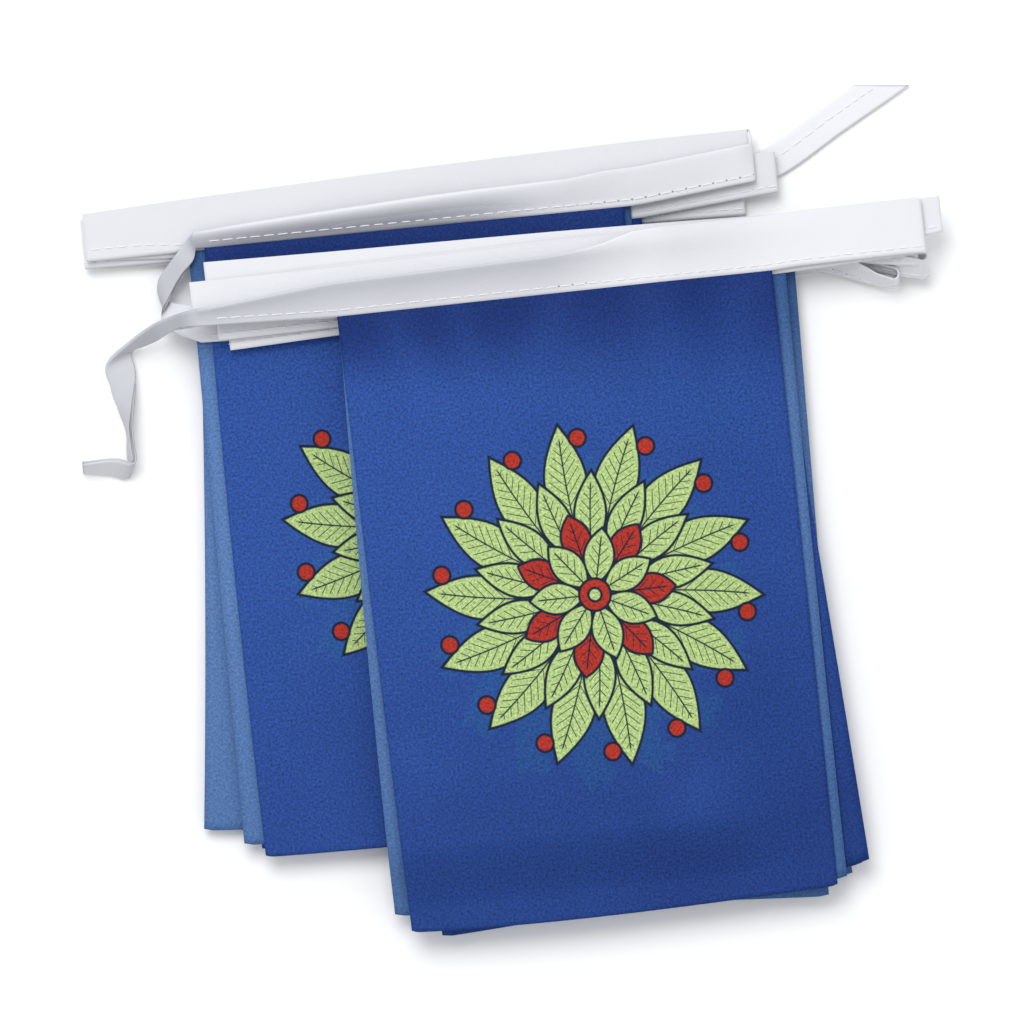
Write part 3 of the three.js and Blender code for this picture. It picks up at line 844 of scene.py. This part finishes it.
def flag_piece(stack, level, fine):
    """A flag's sheet on its level. Its UV map is its flat cloth in metres, from the middle of its head."""
    levels = stack["levels"]
    rows, columns = (141, 101) if fine else (64, 46)
    u, v = flag_plan(levels[level], stack["flags"][level], rows, columns)
    middle = to_part(stack, u, v, height(stack, level, u, v))
    points, quads, side = sheet_arrays(middle, FLAG_THICK)
    over = np.linspace(-FLAG_HALF, FLAG_HALF, columns)[None, :] * MM
    down = np.linspace(TUCK, -FLAG_LONG, rows)[:, None] * MM
    flat = np.stack(np.broadcast_arrays(over, down), -1).reshape(-1, 2)
    face_up = (len(levels) - 1 - level) % 2 == 0
    looks = [face_cloth, reverse_cloth] if face_up else [reverse_cloth, face_cloth]
    name = f"flag_{stack['name']}_{level + 1}"
    shade = flag_shade(stack, u, v).ravel()
    edge = 2 * (rows + columns - 2)
    flat, shade = np.concatenate([flat, flat]), np.concatenate([shade, shade])
    piece = make_piece(name + "_cloth", points, quads, flat, shade, looks, side, edge=edge)
    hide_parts(name)
    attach(piece, "root")
    return piece


flag_pieces = []
for stack in (BACK, FRONT):
    top = len(stack["levels"]) - 1
    flag_pieces += [flag_piece(stack, level, fine=level == top) for level in range(top + 1)]
print("flags made:", len(flag_pieces))
print("points in the top one:", len(flag_pieces[-1].data.vertices))

# %% [markdown]
# ## The tape's path
#
# The tape runs from its free end at the top right through every level of the back stack, over to the front
# stack by a narrow twisted strip, through every level there, and off at the lower left. At each place on
# that way the path holds the sewn edge, the direction across the tape, and how the strip is folded there.


# %% Columns that say how the strip is folded at each place
COLUMNS = ("crease", "tape", "lean", "soft", "bend_at", "power", "seam", "shade", "grow", "flat", "fade")
CREASE, TAPE = 0, 1  # their places in COLUMNS
# A plain strip's crease lies past its width, so it has none.
PLAIN = {"crease": 40.0, "tape": TAPE_WIDE, "soft": 1.3, "bend_at": 12.0, "power": 1.0, "seam": SEAM}


def columns_of(u, **given):
    """A row of COLUMNS for every place. What isn't given has a plain strip's value, or 0."""
    return np.stack([np.zeros_like(u) + given.get(name, PLAIN.get(name, 0.0)) for name in COLUMNS], -1)


def pick(columns, *names):
    """The named columns, each as an array (places, 1)."""
    return [columns[:, COLUMNS.index(name), None] for name in names]


print("columns:", COLUMNS)


# %% One level of the tape
FOLD_FROM = 78.0  # from this u on, a level begins to move to its fold
BEND_REACH = 12.4  # past this distance from the sewn edge, a strip lies flat again
LEVEL_SOFT, STRIP_SOFT = 4.0, 5.0  # how far a level's and the top strip's tables are softened along u


def level_profile(stack, level, start, end):
    """u, lower edge, width along one level, from its start to its end, as soft lines through its table."""
    row = stack["levels"][level]
    left, right = (start, end) if start.at < end.at else (end, start)
    left_wide, right_wide = (start.over, end.under) if left is start else (end.under, start.over)
    table = [
        (left.at, left.low, left_wide),
        (-FLAG_HALF, row[0], row[2]),
        (0, (row[0] + row[1]) / 2, row[3]),
        (FLAG_HALF, row[1], row[4]),
    ]
    if right.neck is not None:
        table.append((right.at - NECK, right.neck, (row[4] + right_wide) / 2))
    table.append((right.at, right.low, right_wide))
    us, lows, wides = zip(*table)
    count = max(int(abs(end.at - start.at) / 5.0), 24)
    u = start.at + (end.at - start.at) * np.linspace(0, 1, count)
    low = soft_interp(u, us, lows, LEVEL_SOFT)
    if stack is FRONT and level == len(FRONT_LEVELS) - 1:
        low = low + 0.5 * smooth_step(u, 77, 84)  # past the flag's right side
    return u, low, soft_interp(u, us, wides, LEVEL_SOFT)


def towards_folds(stack, level, u, low, folds):
    """Height, shift in v, and tilt. Towards a fold, a level's height moves to the middle of its pair
    and half the fold's gap to its own side, and the level turns up on its edge by the fold's stand."""
    z = height(stack, level, u, low)
    shift, tilt = np.zeros_like(u), np.zeros_like(u)
    for fold, side in folds:
        near = smooth_step(np.abs(u), FOLD_FROM, abs(fold.at)) * (np.sign(u) == np.sign(fold.at))
        pair = (height(stack, level, u, low) + height(stack, level - side, u, low)) / 2
        stand = math.radians(fold.stand) * near
        z = z + (pair + side * fold.gap / 2 * np.cos(stand) - z) * near
        shift = shift - side * fold.gap / 2 * np.sin(stand) * near
        tilt = tilt + stand
    return z, shift, tilt


def level_columns(stack, level, u, wide):
    """COLUMNS along one level. Only the top level's strip is creased along its length and leans."""
    if level < len(stack["levels"]) - 1:
        # The back stack's sixth level shows its seam higher up on its way to its left fold.
        left_seam = 1.8 * smooth_step(-u, 75, 100) * (stack is BACK and level == 5)
        # Levels under the top one get the stack's painted shade.
        return columns_of(u, tape=wide, seam=SEAM + left_seam, shade=stack["painted_grey"])
    strip = np.array(TOP_STRIP[stack["name"]])
    given = {
        name: soft_interp(u, strip[:, 0], strip[:, k], STRIP_SOFT)
        for k, name in enumerate(("crease", "lean", "soft", "shade", "grow"), 1)
    }
    given["lean"] = np.radians(given["lean"])
    given["tape"] = np.minimum(TAPE_WIDE, 2 * given["crease"] + given["soft"])
    given["bend_at"] = np.minimum(given["crease"], BEND_REACH)
    given.update(zip(("flat", "power", "fade"), STRIP_BEND[stack["name"]]))
    return columns_of(u, **given)


print("a plain strip's columns:", columns_of(np.zeros(1))[0])


# %% Path through the levels of a stack
def fold_loop(stack, level, fold):
    """Low edge and across at seven places of the half circle that joins a level to the next one,
    and the share of the way there."""
    share = np.linspace(0, 1, 9)[1:-1]
    turn = (share - 0.5) * math.pi
    stand = math.radians(fold.stand)
    middle = sum(height(stack, level + k, fold.at, fold.low) for k in (0, 1)) / 2
    centre = np.array([fold.at, fold.low, float(middle)])
    out = np.outer(np.cos(turn) * math.copysign(fold.gap / 2, fold.at), [1.0, 0, 0])
    up = np.outer(np.sin(turn) * fold.gap / 2, [0.0, -math.sin(stand), math.cos(stand)])
    across = np.tile([0.0, math.cos(stand), math.sin(stand)], (len(turn), 1))
    return centre + out + up, across, share[:, None]


def stack_path(stack):
    """Every place of the tape in one stack: low edge (n, 3), across (n, 3), and COLUMNS. The levels
    follow each other, each from its first fold to its second, with a half circle between them."""
    lows, acrosses, columns = [], [], []
    levels, folds = stack["levels"], stack["folds"]
    top = len(levels) - 1
    for level in range(top + 1):
        start, end = folds[level], folds[level + 1]
        ends = [(fold, side) for fold, side in ((start, 1), (end, -1)) if 0 <= level - side <= top]
        u, low, wide = level_profile(stack, level, start, end)
        z, shift, tilt = towards_folds(stack, level, u, low, ends)
        lows.append(np.stack([u, low + shift, z], -1))
        acrosses.append(np.stack([np.zeros_like(u), np.cos(tilt), np.sin(tilt)], -1))
        columns.append(level_columns(stack, level, u, wide))
        if level == top:
            break
        ring, across, share = fold_loop(stack, level, end)
        last = columns[-1][-1].copy()
        ahead = last.copy()
        ahead[TAPE] = end.over
        if level + 1 == top:
            strip = np.array(TOP_STRIP[stack["name"]])
            last[CREASE] = max(end.under, TAPE_WIDE + 0.2)
            ahead[CREASE] = soft_interp(np.array([end.at]), strip[:, 0], strip[:, 1], STRIP_SOFT)[0]
            ahead[TAPE] = TAPE_WIDE
        lows.append(ring)
        acrosses.append(across)
        columns.append(last + (ahead - last) * share)
    low, across = np.concatenate(lows), np.concatenate(acrosses)
    cosine, sine = math.cos(math.radians(stack["turn"])), math.sin(math.radians(stack["turn"]))
    spin = np.array([[cosine, -sine, 0], [sine, cosine, 0], [0, 0, 1.0]])
    return to_part(stack, low[:, 0], low[:, 1], low[:, 2]), across @ spin.T, np.concatenate(columns)


back_path = stack_path(BACK)
front_path = stack_path(FRONT)
print("places on the back stack's tape:", len(back_path[0]))
print("places on the front stack's tape:", len(front_path[0]))


# %% Path of the free parts
def rounded_curve(points, step):
    """A smooth curve through points (n, k). On each stretch it is a cubic, whose slope at a point comes
    from the chords to the two neighbours, by distance. Returned about every step along it."""
    gaps = np.maximum(np.linalg.norm(np.diff(points[:, :3], axis=0), axis=1), 1e-6)
    at = np.concatenate([[0], np.cumsum(gaps)])
    slope = np.gradient(points, at, axis=0)
    where = np.linspace(0, at[-1], max(int(at[-1] / step), 8))
    k = np.clip(np.searchsorted(at, where, side="right") - 1, 0, len(points) - 2)
    t = ((where - at[k]) / gaps[k])[:, None]
    width = gaps[k][:, None]
    return (
        (2 * t**3 - 3 * t**2 + 1) * points[k]
        + (t**3 - 2 * t**2 + t) * width * slope[k]
        + (3 * t**2 - 2 * t**3) * points[k + 1]
        + (t**3 - t**2) * width * slope[k + 1]
    )


def join_row(path, place):
    """A neighbour's first or last place, as a row of a free part's table."""
    low, across, columns = path
    crease, tape, painted_grey = (columns[place, COLUMNS.index(name)] for name in ("crease", "tape", "shade"))
    return np.array([[*low[place], *(low[place] + across[place] * min(crease, tape)), painted_grey]])


def free_path(table, before, after, step):
    """A free part as low edge, across and columns. It starts and ends one place inside its neighbours, so
    that the strip runs on without a corner. Its crease lies at its width, and the rest is folded under. The
    seam is under the fold too, except on the first part, where it runs near the middle of the strip."""
    rows = np.array(table) + np.array([*MOVED, *MOVED, 0.0])
    if before is not None:
        rows = np.concatenate([join_row(before, -1), rows])
    if after is not None:
        rows = np.concatenate([rows, join_row(after, 0)])
    curve = rounded_curve(rows, step)
    curve = curve[1:] if before is not None else curve
    curve = curve[:-1] if after is not None else curve
    low, top, shade = curve[:, :3], curve[:, 3:6], curve[:, 6]
    wide = np.linalg.norm(top - low, axis=1)
    tape = np.minimum(TAPE_WIDE, 2 * wide + PLAIN["soft"])
    seam = SEAM_HIDDEN
    if before is None:
        left = np.linalg.norm(low - low[-1], axis=1)
        tape = wide + (tape - wide) * smooth_step(left, 12, 24)
        seam = SEAM + (0.59 * wide - SEAM) * smooth_step(left, 4, 20)
    columns = columns_of(wide, crease=wide, tape=tape, bend_at=wide, shade=shade, seam=seam)
    return low, unit(top - low), columns


parts = [
    free_path(RIGHT_END, None, back_path, 1.6),
    back_path,
    free_path(LINK, back_path, front_path, 1.2),
    front_path,
    free_path(LEFT_END, front_path, None, 1.2),
]
PATH_LOW, PATH_ACROSS, PATH_COLUMNS = (np.concatenate([part[k] for part in parts]) for k in range(3))
PATH_AT = np.concatenate([[0], np.cumsum(np.linalg.norm(np.diff(PATH_LOW, axis=0), axis=1))])
print("the tape is", round(PATH_AT[-1] / 1000, 3), "m long, in", len(PATH_LOW), "places")

# %% [markdown]
# ## The tape's section
#
# The tape is a ribbon folded over the flags' heads, so its section is a narrow U, open at the sewn
# edge. Where it shows as a thin strip it is creased once more, and the upper part lies under the
# lower. The section is drawn by its bearing: walking across the tape from the sewn edge, the
# bearing first leans up, and on the back stack it levels out again towards the crease. Then it
# swings through half a turn, and runs back along the underside.


# %% Sections along the path
STRETCHES = np.array([0, 0.4, 0.68, 1.0])  # where spots reach the crease, leave it, and end


def tape_middle(columns, spots):
    """Middle line of each section in its own plane: how far across, and how far along the normal.
    spots runs from 0 to 1 over three stretches, up to the crease, round it and back under. Across
    and along the normal are sums of the cosine and the sine of the bearing."""
    crease, tape, soft = pick(columns, "crease", "tape", "soft")
    lean, bend_at, power, flat, fade = pick(columns, "lean", "bend_at", "power", "flat", "fade")
    round_from = np.minimum(crease, 0.96 * tape)
    round_to = np.minimum(crease + soft, 0.98 * tape)
    marks = np.concatenate([np.zeros_like(crease), round_from, round_to, tape], 1)
    which = np.clip(np.searchsorted(STRETCHES[1:-1], spots), 0, 2)
    share = (spots - STRETCHES[which]) / (STRETCHES[which + 1] - STRETCHES[which])
    s = marks[:, which] * (1 - share) + marks[:, which + 1] * share
    first = np.clip(s, 0, crease)
    back = np.clip(s - crease - soft, 0, crease)
    position = first - back
    swing = np.clip((s - crease) / soft, 0, 1)
    uphill = np.clip((position - flat) / (bend_at - flat), 0, 1)
    rise = uphill**power * (1 - fade * uphill) * (1 - smooth_step(position - bend_at, 0.0, 4.0))
    bearing = -lean * rise + math.pi * swing
    between = (bearing[:, 1:] + bearing[:, :-1]) / 2
    stride = np.diff(s, axis=1)
    zero = np.zeros((len(s), 1))
    out = np.concatenate([zero, np.cumsum(np.cos(between) * stride, 1)], 1)
    off = np.concatenate([zero, np.cumsum(np.sin(between) * stride, 1)], 1)
    return s, out, off, bearing


def turned_normal(low, across):
    """Along the path times across the tape, made square to across."""
    ahead = np.gradient(low + across * 5.0, axis=0)
    normal = unit(np.cross(ahead, across))
    return unit(normal - across * np.sum(normal * across, -1, keepdims=True))


PATH_NORMAL = turned_normal(PATH_LOW, PATH_ACROSS)


def tape_surface(offset, spots):
    """Points of the path's sections (places, spots, 3), offset from the middle line along its own
    normal."""
    s, out, off, bearing = tape_middle(PATH_COLUMNS, spots)
    out = out - np.sin(bearing) * offset
    off = off + np.cos(bearing) * offset
    outwards = PATH_ACROSS[:, None] * out[..., None]
    upwards = PATH_NORMAL[:, None] * off[..., None]
    return PATH_LOW[:, None] + outwards + upwards, s


# %% The ribbon's mesh
SPOTS = np.concatenate(
    [
        [0, 0.03, 0.07, 0.11, 0.15, 0.2, 0.25, 0.3, 0.35, 0.4],
        [0.45, 0.5, 0.54, 0.58, 0.63, 0.68, 0.78, 0.88, 0.96, 1.0],
    ]
)
INSIDE = np.array([0, 0.12, 0.25, 0.4, 0.47, 0.54, 0.61, 0.68, 0.84, 0.98])
outer_far, s_outer = tape_surface(TAPE_HALF, SPOTS)
outer_near, _ = tape_surface(-TAPE_HALF, SPOTS)
inner_near, s_inner = tape_surface(-SLIT_HALF, INSIDE)
inner_far, _ = tape_surface(SLIT_HALF, INSIDE)
loop = np.concatenate([outer_far, outer_near[:, ::-1], inner_near, inner_far[:, ::-1]], 1)
across_uv = np.concatenate([s_outer, 2 * TAPE_WIDE - s_outer[:, ::-1], s_inner, s_inner[:, ::-1]], 1)
along_uv = np.repeat(PATH_AT[:, None], loop.shape[1], 1)
tape_uv = np.stack([along_uv, across_uv], -1).reshape(-1, 2) * MM
bend_at, painted_grey, grow, seam = pick(PATH_COLUMNS, "bend_at", "shade", "grow", "seam")
walked = np.concatenate([s_outer, s_outer[:, ::-1], s_inner, s_inner[:, ::-1]], 1)
# Painted shade on the tape: each place's grey, which on the top strips grows or fades towards the crease.
towards = np.clip(walked / bend_at, 0, 1) ** 1.3 * (1 - smooth_step(walked - bend_at, 0.0, 5.0))
tape_shade = painted_grey + grow * towards
count = loop.shape[1]
tape_quads = grid_quads(len(PATH_LOW), count, closed=True)
first_cap = np.arange(count)
last_cap = first_cap[::-1] + (len(PATH_LOW) - 1) * count
header_tape = make_piece(
    "header_tape_ribbon",
    loop.reshape(-1, 3),
    tape_quads,
    tape_uv,
    tape_shade.ravel(),
    [tape_cloth],
    caps=[first_cap, last_cap],
)

# Needle holes are seen between x = 12 and 91 mm, and right of that on the lowest tape alone.
# Elsewhere the distance from the seam gets 9 mm more, which hides them.
x, z = PATH_LOW[:, :1], PATH_LOW[:, 2:]
no_holes = 1 - smooth_step(x, 6, 12) + smooth_step(x, 91, 93) * (z > 6)
keep_values(header_tape.data, "from_seam", np.abs(walked - seam) + 9.0 * no_holes)
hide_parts("header_tape")
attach(header_tape, "root")
print("triangles in the tape:", 2 * len(tape_quads))

# %% [markdown]
# ## The stitches
#
# A row of machine stitches runs along the sewn edge on both sides of the tape. Each stitch is a
# short length of thread that comes out of one needle hole, lies on the tape and goes down into
# the next. All of them are one piece: a small tube is worked out for every stitch at once.

# %% Stitches
STITCH_LONG = 4.1  # how much of a stitch's thread lies above the cloth
THREAD = 0.2  # half the thread's thickness
RINGS, SIDES = 6, 6  # points along each stitch and round it
SEAM_SHOWS = 1.9  # a seam nearer to the edge than this runs under a fold and gets no thread
starts = np.arange(STITCH_STEP / 2, PATH_AT[-1] - 5.0, STITCH_STEP)
both = starts[:, None] + np.array([-0.5, 0.5, 1.5]) * STITCH_STEP
starts = starts[np.interp(both, PATH_AT, seam[:, 0]).min(1) > SEAM_SHOWS]
along = np.linspace(0, 1, RINGS)
at = (starts[:, None] + (STITCH_STEP - STITCH_LONG) / 2 + along * STITCH_LONG).ravel()


def on_path(values):
    """A value at every place of the path, read at the stitches' rings by straight lines between places."""
    return np.stack([np.interp(at, PATH_AT, values[:, k]) for k in range(values.shape[1])], -1)


low, over, facing = on_path(PATH_LOW), unit(on_path(PATH_ACROSS)), unit(on_path(PATH_NORMAL))
seam, lean, bend_at, power, flat = (
    on_path(values) for values in pick(PATH_COLUMNS, "seam", "lean", "bend_at", "power", "flat")
)
sunk = lean * np.clip(seam - flat, 0, None) ** (power + 1) / ((power + 1) * (bend_at - flat) ** power)
middle = low + over * seam - facing * sunk
print("stitches on each side:", len(starts))


# %% The thread's mesh
def thread_tubes(side):
    """A tube along every stitch on one side of the tape: rings of six points that rise and swell
    by even powers of 2 t - 1, so that both ends are thin and go into the cloth. Returns points
    and quads, ends closed."""
    from_middle = np.abs(2 * along - 1)
    arch = np.tile(0.16 - 0.3 * from_middle**4, len(starts))[:, None]
    thick = np.tile(THREAD * (1 - 0.55 * from_middle**6), len(starts))[:, None, None]
    cosine, sine = np.cos(AROUND)[None, :, None], np.sin(AROUND)[None, :, None]
    ring = over[:, None] * cosine + facing[:, None] * sine * side
    centre = middle + facing * side * (TAPE_HALF + arch)
    points = (centre[:, None] + ring * thick).reshape(len(starts), RINGS * SIDES, 3)
    last = (RINGS - 1) * SIDES
    near_end = np.array([[3, 2, 1, 0], [5, 4, 3, 0]])
    far_end = np.array([[0, 1, 2, 3], [0, 3, 4, 5]]) + last
    one = np.concatenate([grid_quads(RINGS, SIDES, closed=True), near_end, far_end])
    if signed_volume(points[0] - points[0].mean(0), one) < 0:
        one = one[:, ::-1]
    first = RINGS * SIDES * np.arange(len(starts))[:, None, None]
    return points.reshape(-1, 3), (one[None] + first).reshape(-1, 4)


AROUND = np.arange(SIDES) * 2 * math.pi / SIDES
upper_points, upper_quads = thread_tubes(1)
lower_points, lower_quads = thread_tubes(-1)
thread_points = np.concatenate([upper_points, lower_points])
thread_quads = np.concatenate([upper_quads, lower_quads + len(upper_points)])
up = thread_points[:, 2]
thread_points[:, 2] = np.maximum(up, 0.02 + 0.1 * (up - up.min()))  # none goes below the table
thread_uv = np.stack([np.tile(np.repeat(at, SIDES), 2), np.tile(AROUND, 2 * len(at))], -1) * MM
no_shade = np.zeros(len(thread_points))
tape_stitches = make_piece(
    "tape_stitches", thread_points, thread_quads, thread_uv, no_shade, [thread_cloth]
)
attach(tape_stitches, "root")
print("triangles in the thread:", 2 * len(thread_quads))

# %% [markdown]
# ## What each sheet was cut from
#
# The flat sizes that the tape and a flag were cut to are printed here, in millimetres. A flag's length
# has the part of its head that is inside the tape.

# %% Flat sizes
print("the tape is cut", 2 * TAPE_WIDE, "mm wide, and a flag 150 by", FLAG_LONG + TUCK, "mm")

# %% Measure the visual box and finish
low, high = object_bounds()
print("visual box in mm:", [round(1000 * side, 1) for side in high - low])
